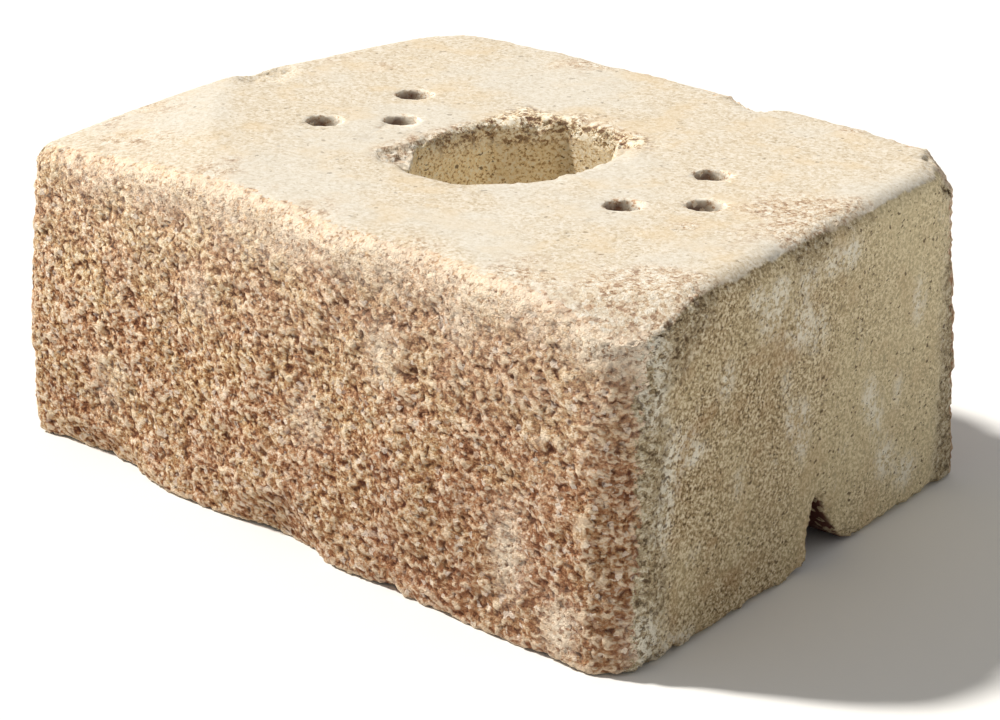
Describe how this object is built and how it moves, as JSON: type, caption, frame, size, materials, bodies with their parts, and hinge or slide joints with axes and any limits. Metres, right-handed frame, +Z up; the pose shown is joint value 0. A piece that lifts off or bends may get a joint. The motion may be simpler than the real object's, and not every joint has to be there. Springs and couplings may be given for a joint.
{
  "type": "retaining wall block",
  "caption": "Tapered concrete retaining wall block with split rough faces, an octagonal core through it, blind pin holes in the top and a pin channel across the bottom.",
  "frame": {"origin": "middle of the block's extents on the plane of its bottom face", "axes": "+Z up; the wide front split face looks along -Y and the narrow back split face along +Y; X runs along the block's width"},
  "size_m": [0.3812, 0.2849, 0.152],
  "materials": {
    "concrete": "rough split tan concrete, smoother and paler on the top and the moulded sides"
  },
  "bodies": {
    "root": {"retaining_wall_block": "concrete"}
  },
  "joints": []
}
